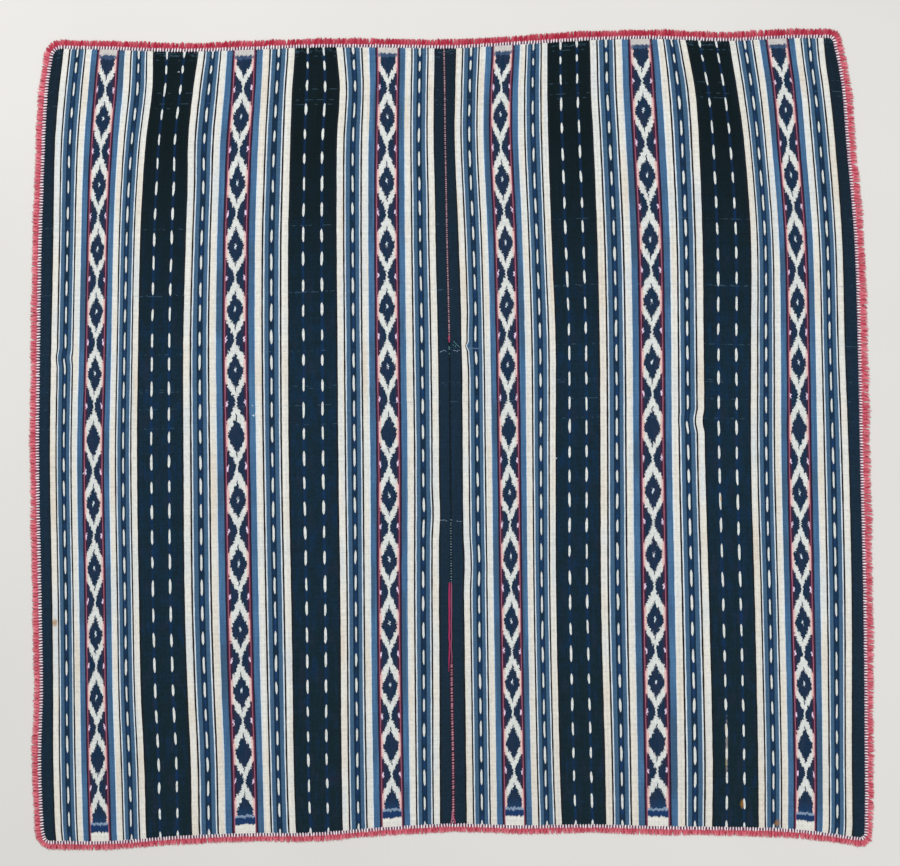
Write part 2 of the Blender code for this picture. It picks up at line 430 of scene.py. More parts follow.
NAVY = shade(20, 40, 48)
NAVY_EDGE = shade(28, 34, 40)
BLUE_NAVY = shade(19, 44, 60)
BRIGHT_NAVY = shade(18, 50, 84)
# Painted shade: the navy darkened towards the top end of the cloth, where the light falls off
PAINTED_TOP_SHADE = shade(9, 27, 31)
VIOLET_NAVY = shade(33, 44, 60)
WORN_NAVY = shade(28, 46, 62)
# Painted shadow: a dark line along both webs' edges at the seam
PAINTED_SEAM_SHADOW = shade(8, 22, 28)
IKAT_NAVY = shade(37, 50, 73)
IKAT_TEAL = shade(20, 48, 72)
CREAM = shade(226, 225, 217)
WARM_CREAM = shade(220, 211, 196)
COOL_CREAM = shade(214, 219, 219)
COOL_WHITE = shade(214, 227, 236)
IKAT_WHITE = shade(218, 222, 218)
IKAT_PINK = shade(226, 188, 182)
RED = shade(150, 92, 112)
RED_BLACK = shade(88, 40, 60)
IKAT_MAROON = shade(62, 36, 58)
MAROON_BLACK = shade(40, 32, 50)
LIGHT_BLUE = shade(66, 101, 138)
CLEAR_BLUE = shade(78, 118, 156)
DULL_BLUE = shade(60, 88, 114)
GREY_BLUE = shade(66, 97, 126)
DEEP_BLUE = shade(23, 46, 66)
SPACE_BLUE = shade(30, 64, 108)
DARK_LINE = shade(42, 36, 36)
PALE_LINE = shade(140, 162, 186)
LILAC = shade(232, 206, 230)
STAIN_BROWN = shade(166, 116, 48)
STAIN_OLIVE = shade(176, 160, 96)

# From the middle of an ikat band outward: where each stripe starts, in millimetres
Stripe = namedtuple("Stripe", "start yarn")
STRIPES = (
    Stripe(0.0, IKAT_NAVY),
    Stripe(17.0, RED),
    Stripe(18.4, RED_BLACK),
    Stripe(19.9, MAROON_BLACK),
    Stripe(22.1, LIGHT_BLUE),
    Stripe(32.4, COOL_WHITE),
    Stripe(34.3, CREAM),
    Stripe(43.1, DARK_LINE),
    Stripe(46.1, COOL_WHITE),
    Stripe(48.5, GREY_BLUE),
    Stripe(54.9, DEEP_BLUE),
    Stripe(65.0, GREY_BLUE),
    Stripe(71.6, COOL_WHITE),
    Stripe(73.9, DARK_LINE),
    Stripe(76.8, CREAM),
    Stripe(87.5, NAVY_EDGE),
    Stripe(90.6, NAVY),
)
STRIPES_REACH = 128
IKAT_HALF = 17.0
BLUE_STRIPE = (22.1, 32.4)
CREAM_STRIPES = ((32.4, 43.1), (76.8, 87.5))
RED_THREAD = 17.6
# Width of the painted shadow along the seam edge, in millimetres
PAINTED_SEAM_SHADOW_WIDTH = 1.6

# Broken white yarns: their place from the band's middle, half width and length, and their rhythm down the
# warp. They are longer by the swell half-way down the cloth, and by the tail at its bottom. Below a certain
# height they come a little late, they sway slowly about their rhythm, and the topmost are longer.
Dash = namedtuple("Dash", "middle half length swell tail")
GROUP_DASH = Dash(59.95, 1.9, 22, 5.5, 4.5)
NAVY_DASH = Dash(112.5, 2.1, 20, 4.5, 0.0)
DASH_FIRST = 56
DASH_SQUEEZE = 0.31
DASH_PITCH = 43.6
DASH_LEAD = 5
DASH_STRAY = 6
DASH_SLANT = 6
DASH_ROUND = 6
TOP_DASH = 10
DASH_LATE = 7
DASH_LATE_FROM = 830
DASH_LATE_REACH = 280
DASH_SWAY = 1.6
DASH_SWAY_FROM = 80
DASH_SWAY_REACH = 300
DASH_TAIL_FROM = 1080
DASH_TAIL_REACH = 200
DASH_BLUR = 1.6
DASH_BLUR_FROM = -0.7
GROUP_SPACE_HALF = 3.2
NAVY_SPACE_HALF = 3.6

# Where the middles of the ikat diamonds lie down the warp. The first and the last are cut by the ends.
DIAMONDS = (22, 122, 236, 348, 458, 564.5, 679, 791, 903.5, 1018, 1127, 1233, 1335.5)
BARE_DIAMONDS = (6, 11)
DIAMOND_PITCH = 111.5

# How far each band's tied yarn lies up the warp from that, at the top and at the bottom, in millimetres
Slip = namedtuple("Slip", "top bottom")
SLIPS = (
    Slip(2.1, -1.4), Slip(4.6, -3.0), Slip(0.2, -3.2),
    Slip(-2.4, 4.0), Slip(-2.6, 3.0), Slip(-0.8, 1.6),
)

# Ikat bundles, tied and dyed together: how far each colour reaches from a diamond's middle, and how much
# less with each bundle outward
BUNDLE = 2.1
NAVY_REACH = 30
NAVY_STEP = 4.15
NAVY_LAST = 6
NOTCH = 3.5
MIDDLE_NOTCH = 3
WHITE_REACH = 53
WHITE_STEP = 4.15
PINK_FIRST = 7
STEM_HALF = 1.5
DOT_HALF = 3.3
DOT_SIDE = 1.5
SIDE_DOT_HALF = 4.2
SIDE_DOT = (13.8, 16.9)
BUNDLE_STRAY = 14.0
YARN_STRAY = 3.4
DYE_BLUR = 1.6
PICK_TEETH = 1.75
TEETH = 2.2

# Fine yarns across, and picks along
YARN = 0.85
PICK = 1.35

# Where mends and pulled threads draw the stripes aside, on the signed scale of the weave
Pull = namedtuple("Pull", "signed down reach_across reach_down amount")
PULLS = (
    Pull(-696, 530, 11, 9, 4.0),
    Pull(-692, 522, 24, 60, 2.2),
    Pull(-285, 668, 45, 24, 3.2),
    Pull(45, 538, 35, 20, -2.6),
    Pull(700, 826, 40, 50, 1.8),
    Pull(-697, 915, 45, 55, -1.8),
)

# Old stains, in millimetres from the middle of the poncho
Mark = namedtuple("Mark", "across along half_across half_along strength colour")
MARKS = (
    Mark(-694, -321, 5, 9, 0.7, STAIN_BROWN),
    Mark(471, -104, 1.6, 7, 0.8, STAIN_BROWN),
    Mark(481, -540, 2.4, 60, 0.35, WARM_CREAM),
    Mark(508, -638, 4, 9, 0.6, STAIN_BROWN),
    Mark(570, -671, 6, 7, 0.6, STAIN_BROWN),
    Mark(479, -505, 1.4, 9, 0.5, STAIN_OLIVE),
    Mark(480, -566, 1.2, 12, 0.5, STAIN_OLIVE),
)
STAIN_RAGGED = 1.2

# How much any of the yarns shines
SHINE = 0.2


def add_material(name, roughness):
    """An empty cloth finish, and a first wire to start its arithmetic from."""
    material = bpy.data.materials.new(name)
    material.use_nodes = True
    sockets = material.node_tree.nodes["Principled BSDF"].inputs
    sockets["Roughness"].default_value = roughness
    sockets["Specular IOR Level"].default_value = SHINE
    return material, Wire(material.node_tree)


def finish_material(material, base, height, strength, distance):
    """Give a finish its colour and its relief."""
    relief = {"Height": height, "Strength": strength, "Distance": distance}
    bump = base.node("ShaderNodeBump", relief)
    sockets = material.node_tree.nodes["Principled BSDF"].inputs
    material.node_tree.links.new(base.socket, sockets["Base Color"])
    material.node_tree.links.new(bump.socket, sockets["Normal"])
    return material


def inside(far, stripe):
    """One between the two edges of a stripe, and nought outside it."""
    low, high = stripe
    return (far > low) * (far < high)


def halfway(down):
    """Nought at both ends of the cloth, rising to one half-way down it."""
    return down * (WEAVE_LENGTH - down) * (4 / WEAVE_LENGTH ** 2)


def dash_mask(down, column, off, dash):
    """One where a broken white yarn shows: short dashes down the warp, each a little off its place."""
    late = (down - DASH_LATE_FROM).rise(DASH_LATE_REACH) * DASH_LATE
    sway = ((down - DASH_SWAY_FROM) * (math.pi / DASH_SWAY_REACH)).sine() * DASH_SWAY
    place = down - DASH_SQUEEZE * (DASH_FIRST - down).larger(0.0) - late + sway - DASH_FIRST + DASH_LEAD
    row = (place / DASH_PITCH).floor()
    along = place - row * DASH_PITCH
    share = off / dash.half
    point = share * share * DASH_ROUND

    def stray(lot, reach):
        return (row.chance(column + lot) - 0.5) * reach

    start = DASH_LEAD + stray(0, DASH_STRAY) + stray(3.5, DASH_SLANT) * share + point
    end = DASH_LEAD + dash.length + dash.swell * halfway(down) + stray(7.5, DASH_STRAY)
    end = end + stray(5.5, DASH_SLANT) * share - point + (row < -1.5) * TOP_DASH
    end = end + (down - DASH_TAIL_FROM).rise(DASH_TAIL_REACH) * dash.tail
    shown = (along - start).rise(DASH_BLUR, DASH_BLUR_FROM) * (end - along).rise(DASH_BLUR, DASH_BLUR_FROM)
    return shown * (abs(share) < 0.78 + row.chance(column + 9.5) * 0.28)


def ikat_colour(across, down, band, off):
    """The ikat band: navy diamonds outlined in white, stepped from bundle to bundle of the tied yarn."""
    off = off + ((down / PICK_TEETH).floor().chance(band + 0.5) - 0.5) * TEETH
    bundle = (off / BUNDLE + 0.5).floor()
    step = abs(bundle)
    stray = (bundle * 3.7 + band * 31.7).drift(down / 30) - 0.5
    yarn_stray = (across / YARN).floor().chance(band) - 0.5
    at = down + stray * BUNDLE_STRAY + yarn_stray * YARN_STRAY
    for number, slip in enumerate(SLIPS):
        at = at + band.same_as(number) * (down * ((slip.bottom - slip.top) / WEAVE_LENGTH) + slip.top)
    last = len(DIAMONDS) - 1
    stops = [(place / WEAVE_LENGTH, (index / last,) * 3 + (1.0,)) for index, place in enumerate(DIAMONDS)]
    counted = at.node("ShaderNodeValToRGB", {0: at / WEAVE_LENGTH}, stops=stops, blended=True) * last
    number = (counted + 0.5).floor()
    along = (counted - number) * DIAMOND_PITCH
    far = abs(along)
    side = abs(off)
    outer = step > PINK_FIRST - 0.5
    whole = (number > 0.5) * (number < last - 0.5)
    bare = number.same_as(BARE_DIAMONDS[0]) + number.same_as(BARE_DIAMONDS[1])

    def reached(room):
        """One where there is room left, with the blur of the dye at its edge."""
        return room.rise(DYE_BLUR, -DYE_BLUR / 2)

    notch = (along > 0) * NOTCH + (step < 0.5) * MIDDLE_NOTCH
    navy = reached(NAVY_REACH + notch - step * NAVY_STEP - far) * (step < NAVY_LAST + 0.5)
    stem = (side < STEM_HALF) * DIAMOND_PITCH
    white = reached(WHITE_REACH + stem - step * WHITE_STEP - far) * (1 - navy)
    dot = reached(DOT_HALF - far) * (side < DOT_SIDE) * (1 - bare) * whole
    side_dot = reached(SIDE_DOT_HALF - abs(far - DIAMOND_PITCH / 2)) * inside(side, SIDE_DOT)
    teal = (bundle * 2.3 + band * 5.1).drift(down / 40).rise(0.2, 0.42)
    tied = teal.between(IKAT_NAVY, IKAT_TEAL).dyed(
        (outer, IKAT_MAROON),
        (white, outer.between(IKAT_WHITE, IKAT_PINK)),
        (dot, COOL_WHITE),
        (side_dot, LILAC),
    )
    return ikat_ends(tied, white, down, band, off)


def ikat_ends(tied, white, down, band, off):
    """A band's two ends: cream and a smudge of blue at the top, a pale line and cream at the bottom."""
    wave = (off / 5).drift(down / 14 + band * 3.1) * 9 - 3
    top_edge = down + wave
    bottom_edge = WEAVE_LENGTH - down + wave
    return tied.dyed(
        ((19.5 - top_edge).rise(3) * 0.8, shade(64, 84, 116)),
        ((12.5 - top_edge).rise(2), shade(200, 196, 192)),
        ((52 - bottom_edge).rise(26) * (1 - white) * 0.75, shade(34, 70, 112)),
        ((34 - bottom_edge).rise(1) * 0.85, PALE_LINE),
        ((30 - bottom_edge).rise(2), shade(30, 58, 100)),
        ((18.5 - bottom_edge).rise(2), CREAM),
    )


def pulled_across(signed, down):
    """The place across the weave, wandering a little and drawn aside by the pulled threads."""
    across = abs(signed) + ((signed / 3).drift(down / 24, 1.0) - 0.5) * 0.9
    for pull in PULLS:
        sideways = (signed - pull.signed) / pull.reach_across
        lengthways = (down - pull.down) / pull.reach_down
        near = (1 - sideways * sideways - lengthways * lengthways).larger(0.0)
        across = across - near * near * pull.amount
    return across


def stained(base, wires):
    """The cloth's colour with its old stains, which have ragged edges."""
    place = wires.node("ShaderNodeTexCoord", output=3)
    x = place.part(0) * 1000
    y = place.part(1) * 1000
    ragged = ((x / 5).drift(y / 5, 3.0) - 0.5) * STAIN_RAGGED
    for mark in MARKS:
        dx = (x - mark.across) / mark.half_across
        dy = (y - mark.along) / mark.half_along
        near = 1 - (dx * dx + dy * dy) + ragged
        base = base.dyed((near.rise(0.8) * mark.strength, mark.colour))
    return base


def woven_finish():
    """The cloth's yarns, placed by the weave: stripes, broken white yarns, ikat and the play of the dye."""
    material, wires = add_material("woven_cloth", 0.92)
    weave = wires.node("ShaderNodeAttribute", output=1, attribute_name="weave")
    signed = weave.part(0)
    down = weave.part(1)
    across = pulled_across(signed, down)
    right = signed < 0
    counted = (across + (BAND_PITCH / 2 - FIRST_BAND)) / BAND_PITCH
    band = counted.floor() + right * 3
    off = (counted - counted.floor() - 0.5) * BAND_PITCH
    far = abs(off)
    stops = [(stripe.start / STRIPES_REACH, stripe.yarn) for stripe in STRIPES]
    base = wires.node("ShaderNodeValToRGB", {0: far / STRIPES_REACH}, stops=stops)

    # Patches of the dye down each stripe, the navy bluer half-way down the cloth, and the navy darkened to
    # nearly black towards the top end as patchy painted shade
    patch = ((signed / 11).floor() * 4.7).drift(down / 170)
    streak = (signed / 2.4).drift(down / 70)
    blotch = (signed / 13).drift(down / 30, 3.0)
    navy = far > STRIPES[-1].start
    middle = halfway(down)
    bluer = middle.rise(0.4, 0.55) * (0.45 + blotch.rise(0.2, 0.4) * 0.55)
    selvedge = (across < EDGE_NAVY) + (across > WEAVE_WIDTH - EDGE_NAVY)
    cream = inside(far, CREAM_STRIPES[0]) + inside(far, CREAM_STRIPES[1])
    blue = inside(far, BLUE_STRIPE)
    base = base.dyed(
        (navy * bluer, BLUE_NAVY),
        (navy * (streak * 0.5 + blotch * 0.5).rise(0.16, 0.52) * 0.5, BRIGHT_NAVY),
        (navy * (signed / 17 + 5).drift(down / 45).rise(0.15, 0.55) * 0.5, VIOLET_NAVY),
        # painted shade: the navy darkens to nearly black towards the top end, a little patchy
        (navy * (560 - down).rise(400) * (0.75 + patch * 0.4), PAINTED_TOP_SHADE),
        (navy * selvedge * (0.5 + middle * 0.15), WORN_NAVY),
        # painted shadow along the seam edge of each web
        ((across > WEAVE_WIDTH - PAINTED_SEAM_SHADOW_WIDTH) * 0.8, PAINTED_SEAM_SHADOW),
        (cream * patch.rise(0.3, 0.5), WARM_CREAM),
        (cream * (0.5 - patch).rise(0.2), COOL_CREAM),
        (cream * right * (down - 1000).rise(300) * 0.5, WARM_CREAM),
        (blue * (streak * 0.5 + patch * 0.5).rise(0.2, 0.47), CLEAR_BLUE),
        (blue * (0.5 - patch).rise(0.14) * 0.8, DULL_BLUE),
    )

    # Broken white yarns, with softer blue where the tied yarns show between the dashes, the ikat, and a
    # thread of brighter red beside it
    column = band * 2 + (off > 0)
    group = far - GROUP_DASH.middle
    single = far - NAVY_DASH.middle
    brighter = (signed / 3).drift(down / 60, 1.0).rise(0.2, 0.4) * 0.6
    base = base.dyed(
        ((GROUP_SPACE_HALF - abs(group)).rise(2) * blotch.rise(0.25, 0.35) * 0.8, SPACE_BLUE),
        (dash_mask(down, column, group, GROUP_DASH), IKAT_WHITE),
        ((NAVY_SPACE_HALF - abs(single)).rise(3.2) * (0.25 + streak * 0.9) * 0.7, shade(16, 54, 98)),
        (dash_mask(down, column + 40, single, NAVY_DASH), IKAT_WHITE),
        (far < IKAT_HALF, ikat_colour(across, down, band, off)),
        ((abs(far - RED_THREAD) < 0.5) * brighter, shade(178, 110, 134)),
    )

    # Each yarn and each pick is a little lighter or darker than its neighbour, with slubs along them
    yarn = (signed / YARN).floor()
    pick = (down / PICK).floor()
    dark = navy * 0.5 + 0.5
    tone = 0.28 + yarn.chance() * 0.14 + pick.chance() * 0.1
    tone = tone + (yarn * 3.3).drift(down / 24) * 0.2 * dark
    tone = tone + (pick * 0.31).drift(signed / 40, 3.0) * 0.34 * dark
    tone = tone + (signed / 4.5).drift(down / 5.5) * 0.66 * dark + (1 - dark) * 0.6
    grey = wires.node("ShaderNodeCombineColor", {0: tone, 1: tone, 2: tone})
    base = wires.node("ShaderNodeMix", {0: 1.0, 6: base, 7: grey}, output=2, data_type="RGBA",
                      blend_type="MULTIPLY")

    # Slack picks that show pale blue across the warp near the top end, and here and there below it
    slack = pick.chance(3.0) > 0.985 - (30 - down).rise(20) * 0.35
    slack = slack * (signed / 9).drift(pick * 2.7).rise(0.12, 0.5)
    base = stained(base.dyed((slack * (down < 700) * 0.22, shade(96, 132, 160))), wires)

    rib = (down * (2 * math.pi / PICK) + (yarn % 2) * math.pi).sine()
    ridge = (signed * (2 * math.pi / YARN)).sine()
    return finish_material(material, base, rib * 0.5 + ridge * 0.3 + blotch + streak, 0.4, 0.0002)


woven = woven_finish()
for side in ("left", "right"):
    build_web(side, woven)

# The heading of the edging
# A narrow woven band sewn round the cloth. Its white weft bars stand square to the edge over a dark ground,
# and fan out round the corners.
HEADING_WIDTH = 7.4 * MM
HEADING_THICK = 1.2 * MM
BAR_PITCH = 4.95 * MM
BAR_WIDTH = 2.5 * MM
BAR_LENGTH = 8.8 * MM
BAR_HEIGHT = 1.1 * MM
BAR_RAISE = 1.7 * MM

# Where the bars of each edging start, in millimetres out from the cloth's edge, and how far they lean
Bars = namedtuple("Bars", "start lean")
BARS = {
    "left": Bars(-1.5, -0.08),
    "top": Bars(-1.5, 0.1),
    "right": Bars(-0.2, 0.04),
    "bottom": Bars(-1.5, 0.0),
}
BAR_STRAY = 0.14
SIDES = ("left", "top", "right", "bottom")
TAPE_PROFILE = (0.5, 0.9, 1.0, 0.95, 0.6)


def outline():
    """The cloth's outline, cut at the corners into four runs of points that go round clockwise."""
    rows = round(WEAVE_LENGTH / CELL)
    cut = corner_places()[1]
    places = web_places()[1:-1]
    runs = {}
    for side in ("left", "right"):
        upward = [cloth_point(side, cut, 0)]
        upward += [cloth_point(side, 0, row / rows) for row in range(rows + 1)]
        upward.append(cloth_point(side, cut, 1))
        runs[side] = upward if side == "left" else upward[::-1]
    for end, share in (("bottom", 0), ("top", 1)):
        left = [cloth_point("left", place, share) for place in places]
        right = [cloth_point("right", place, share) for place in places]
        seam = (cloth_point("left", WEAVE_WIDTH, share) + cloth_point("right", WEAVE_WIDTH, share)) / 2
        rightward = left + [seam] + right[::-1]
        runs[end] = rightward if end == "top" else rightward[::-1]
    return runs


def outward(start, end):
    """The direction away from the cloth, square to a stretch of its outline."""
    run = (end - start).normalized()
    return Vector((-run.y, run.x, 0.0))


def edge_ways(run, before, after):
    """At each point of a run of the outline, the way out from the cloth."""
    points = [before] + run + [after]
    ways = []
    for index in range(len(run)):
        first = outward(points[index], points[index + 1])
        second = outward(points[index + 1], points[index + 2])
        middle = (first + second).normalized()
        ways.append(middle / middle.dot(first))
    return ways


def edge_stations(edge, reach, pitch):
    """Even stations along a line outside the edge: the share of its length, the foot and the way out."""
    run, ways = edge
    line = [point + way * reach for point, way in zip(run, ways)]
    lengths = [0.0]
    for start, end in zip(line, line[1:]):
        lengths.append(lengths[-1] + (end - start).length)
    count = round(lengths[-1] / pitch)
    stations = []
    index = 0
    for number in range(count):
        at = (number + 0.5) / count * lengths[-1]
        while lengths[index + 1] < at:
            index += 1
        share = (at - lengths[index]) / (lengths[index + 1] - lengths[index])
        foot = run[index].lerp(run[index + 1], share)
        stations.append((at / lengths[-1], foot, ways[index].lerp(ways[index + 1], share)))
    return stations


def edges():
    """Each edging's run of the outline, with the ways out from the cloth."""
    runs = outline()
    made = {}
    for index, side in enumerate(SIDES):
        before = runs[SIDES[index - 1]][-2]
        after = runs[SIDES[(index + 1) % len(SIDES)]][1]
        made[side] = (runs[side], edge_ways(runs[side], before, after))
    return made


def repeat(template, places):
    """One bmesh with a template copied to every place by its matrix, and its number kept as its tone."""
    bm = bmesh.new()
    for _ in places:
        bm.from_mesh(template)
    bm.verts.ensure_lookup_table()
    tone = bm.verts.layers.float.new("tone")
    size = len(template.vertices)
    for number, (place, lot) in enumerate(places):
        for vert in bm.verts[number * size:(number + 1) * size]:
            vert.co = place @ vert.co
            vert[tone] = lot
    return bm


def frame_of(foot, way, lean):
    """A matrix at a foot on the edge: its Y runs outward, turned clockwise by a lean in radians."""
    y = way.normalized()
    x = Vector((y.y, -y.x, 0.0))
    turned = y * math.cos(lean) + x * math.sin(lean)
    side = Vector((turned.y, -turned.x, 0.0))
    return Matrix.Translation(foot) @ Matrix((side, turned, (0, 0, 1))).transposed().to_4x4()


def bar_template():
    """One white bar of the heading, a soft pad from 0 to 1 along Y."""
    bm = bmesh.new()
    bmesh.ops.create_uvsphere(bm, u_segments=8, v_segments=5, radius=0.5,
                              matrix=Matrix.Rotation(math.radians(90), 4, "X"))
    along = bm.verts.layers.float.new("along")
    for vert in bm.verts:
        vert.co.y = 0.5 + math.copysign(abs(2 * vert.co.y) ** 0.7, vert.co.y) / 2
        vert[along] = vert.co.y
    return finished_mesh("bar_template", bm)


def kept(wires, name):
    """A number kept on the points of the mesh."""
    return wires.node("ShaderNodeAttribute", output=2, attribute_name=name)


def speckle(wires, scale, detail):
    """Fine mottling all through a piece, from nought to one."""
    place = wires.node("ShaderNodeTexCoord", output=3)
    return wires.node("ShaderNodeTexNoise", {"Vector": place, "Scale": scale, "Detail": detail})


def tape_finish():
    """The ground of the heading, dark mauve by the cloth and pink towards the fringe."""
    material, wires = add_material("heading_ground", 0.9)
    mottle = speckle(wires, 330.0, 3.0)
    edge = (kept(wires, "along") + mottle * 0.5).rise(0.5, 0.62)
    base = mottle.between(shade(58, 42, 60), shade(128, 88, 110)).dyed((edge, shade(190, 92, 116)))
    return finish_material(material, base, mottle, 0.5, 0.0004)


def bar_finish():
    """White weft bars, blushed pink towards the fringe."""
    material, wires = add_material("heading_bars", 0.85)
    tone = kept(wires, "tone")
    blush = (kept(wires, "along") + tone * 0.2 - 0.66).rise(0.4) * 0.85
    white = tone.between(shade(252, 246, 247), shade(240, 216, 224)).dyed((blush, shade(222, 104, 124)))
    return finish_material(material, white, speckle(wires, 1500.0, 2.0), 0.3, 0.0003)


def build_tape(side, edge, material):
    """The ground of one edging's heading, a thin rounded strip along the cloth's edge."""
    run, ways = edge
    last = len(run) - 1
    strips = len(TAPE_PROFILE) - 1
    bm = bmesh.new()
    thickness = bm.verts.layers.float.new("thickness")
    along = bm.verts.layers.float.new("along")
    bmesh.ops.create_grid(bm, x_segments=last, y_segments=strips, size=1)
    for foot, way, line in zip(run, ways, grid_lines(bm, last)):
        for strip, vert in enumerate(line):
            vert.co = foot + way * (GAP + HEADING_WIDTH * strip / strips)
            vert[thickness] = HEADING_THICK * TAPE_PROFILE[strip]
            vert[along] = strip / strips
    raise_faces(bm, thickness)
    add_piece("heading_" + side, bm, material)


def build_bars(side, edge, template, material):
    """The white bars of one edging's heading."""
    places = []
    for _, foot, way in edge_stations(edge, GAP + HEADING_WIDTH / 2, BAR_PITCH):
        lean = BARS[side].lean + chooser.uniform(-BAR_STRAY, BAR_STRAY)
        width = BAR_WIDTH * chooser.uniform(0.85, 1.1)
        length = BAR_LENGTH * chooser.uniform(0.92, 1.06)
        start = foot + way.normalized() * (GAP + (BARS[side].start + chooser.uniform(-0.4, 0.3)) * MM)
        start.z = BAR_RAISE
        size = Matrix.Diagonal((width, length, BAR_HEIGHT * 2, 1))
        places.append((frame_of(start, way, lean) @ size, chooser.random()))
    add_piece("heading_bars_" + side, repeat(template, places), material)


chooser = random.Random(7)
cloth_edges = edges()
ground = tape_finish()
white_bars = bar_finish()
pad = bar_template()
for side in SIDES:
    build_tape(side, cloth_edges[side], ground)
    build_bars(side, cloth_edges[side], pad, white_bars)

# The fringe
# Short ends of soft twisted coral yarn, set close along the outer side of the heading. They lie out on the
# surface in a low layer, darkened as painted shade between and under the locks, and in lighter locks over
# it, with paler worn tips and a ragged line.
YARN_PITCH = 2.45 * MM
YARN_THICK = 2.1 * MM
YARN_SIDES = 6
YARN_RINGS = ((0.0, 0.8), (0.25, 1.0), (0.5, 1.08), (0.75, 1.0), (0.92, 0.72), (1.0, 0.3))
FRINGE_ROOT = 2.2 * MM
FRINGE_MIDDLE = GAP + HEADING_WIDTH + 5 * MM
LOCK_PITCH = 5.4 * MM
LOCK_SPREAD = (-1.35, 0.0, 1.35)
DEEP_HEIGHT = 0.95 * MM
LOCK_HEIGHT = 2.1 * MM

# Length of the fringe at the start, middle and end of each edging, going round clockwise, in millimetres, how
# far it leans and strays in radians, and how pale its locks are
Fringe = namedtuple("Fringe", "start middle end lean stray colour")
FRINGES = {
    "left": Fringe(8.6, 8.6, 8.8, 0.05, 0.2, 0.55),
    "top": Fringe(8.4, 8.6, 9.2, 0.1, 0.22, 0.0),
    "right": Fringe(9.8, 12.2, 8.2, 0.12, 0.26, 0.42),
    "bottom": Fringe(8.6, 7.6, 7.8, 0.0, 0.24, 0.42),
}


def fringe_length(fringe, share):
    """Length of the fringe at a share of the way along one edging, with its slow swells."""
    if share < 0.5:
        plain = fringe.start + (fringe.middle - fringe.start) * share * 2
    else:
        plain = fringe.middle + (fringe.end - fringe.middle) * (share - 0.5) * 2
    swell = 0.06 * math.sin(share * 47 + plain) + 0.05 * math.sin(share * 113 + plain * 3)
    return plain * (1 + swell) * MM


def yarn_template():
    """One end of fringe yarn from 0 to 1 along Y, plump in the middle and worn thin at its tip."""
    bm = bmesh.new()
    along = bm.verts.layers.float.new("along")
    upright = Matrix.Rotation(math.radians(-90), 4, "X")
    bmesh.ops.create_circle(bm, cap_ends=True, radius=YARN_RINGS[0][1] / 2, segments=YARN_SIDES,
                            matrix=upright)
    ring = bm.edges[:]
    for place, girth in YARN_RINGS[1:]:
        made = bmesh.ops.extrude_edge_only(bm, edges=ring)["geom"]
        ring = [piece for piece in made if isinstance(piece, bmesh.types.BMEdge)]
        for vert in (piece for piece in made if isinstance(piece, bmesh.types.BMVert)):
            around = Vector((vert.co.x, 0.0, vert.co.z)).normalized() * girth / 2
            vert.co = (around.x, place, around.z)
            vert[along] = place
    bmesh.ops.contextual_create(bm, geom=ring)
    bmesh.ops.recalc_face_normals(bm, faces=bm.faces)
    return finished_mesh("yarn_template", bm)


def fringe_finish():
    """Coral yarn: darker between the locks as painted shade, pink along them, and pale at the worn tips."""
    material, wires = add_material("fringe_yarn", 0.85)
    along = kept(wires, "along")
    tone = kept(wires, "tone")
    fibre = speckle(wires, 700.0, 3.0)
    pink = tone.between(shade(166, 38, 62), shade(234, 126, 140)).dyed(
        ((0.3 - along).rise(0.3) * 0.45, shade(176, 52, 78)),
        ((along - 0.55).rise(0.45) * tone * 0.75, shade(250, 192, 194)),
        (fibre.rise(0.2, 0.52) * 0.5, shade(158, 30, 54)),
    )
    return finish_material(material, pink, fibre, 0.6, 0.0004)


def fringe_end(foot, way, height, length, lean):
    """The matrix of one end of yarn, from under the heading's outer side down to the surface."""
    start = foot + way * (GAP + HEADING_WIDTH) - way.normalized() * FRINGE_ROOT
    start.z = height
    length += FRINGE_ROOT
    slope = -chooser.uniform(0.35, 0.85) * max(0.0, height - YARN_THICK / 2) / length
    thick = YARN_THICK * chooser.uniform(0.85, 1.1)
    size = Matrix.Diagonal((thick, length, thick * 0.75, 1))
    return frame_of(start, way, lean) @ Matrix.Rotation(slope, 4, "X") @ size


def build_fringe(side, edge, template, material):
    """The fringe of one edging: a low layer of single ends, darkened as painted shade, and lighter locks of
    three over it.
    """
    fringe = FRINGES[side]
    places = []
    for share, foot, way in edge_stations(edge, FRINGE_MIDDLE, YARN_PITCH):
        length = fringe_length(fringe, share) * chooser.uniform(0.8, 1.02)
        lean = fringe.lean + chooser.uniform(-fringe.stray, fringe.stray)
        # The low layer's dark tones, nought to three tenths, are painted shade under and between the locks
        places.append((fringe_end(foot, way, DEEP_HEIGHT, length, lean), chooser.uniform(0.0, 0.3)))
    for share, foot, way in edge_stations(edge, FRINGE_MIDDLE, LOCK_PITCH):
        length = fringe_length(fringe, share) * chooser.uniform(0.88, 1.1)
        lean = fringe.lean + chooser.uniform(-fringe.stray, fringe.stray)
        tone = fringe.colour + chooser.uniform(-0.1, 0.38)
        across = Vector((way.y, -way.x, 0.0)).normalized()
        for spread in LOCK_SPREAD:
            at = foot + across * spread * MM
            end_length = length * chooser.uniform(0.86, 1.04)
            height = LOCK_HEIGHT * chooser.uniform(0.88, 1.1)
            end_lean = lean - spread * 0.05 + chooser.uniform(-0.06, 0.06)
            place = fringe_end(at, way, height, end_length, end_lean)
            places.append((place, tone + chooser.uniform(-0.08, 0.08)))
    add_piece("fringe_" + side, repeat(template, places), material, ["edging_" + side])


coral = fringe_finish()
end_of_yarn = yarn_template()
for side in SIDES:
    build_fringe(side, cloth_edges[side], end_of_yarn, coral)

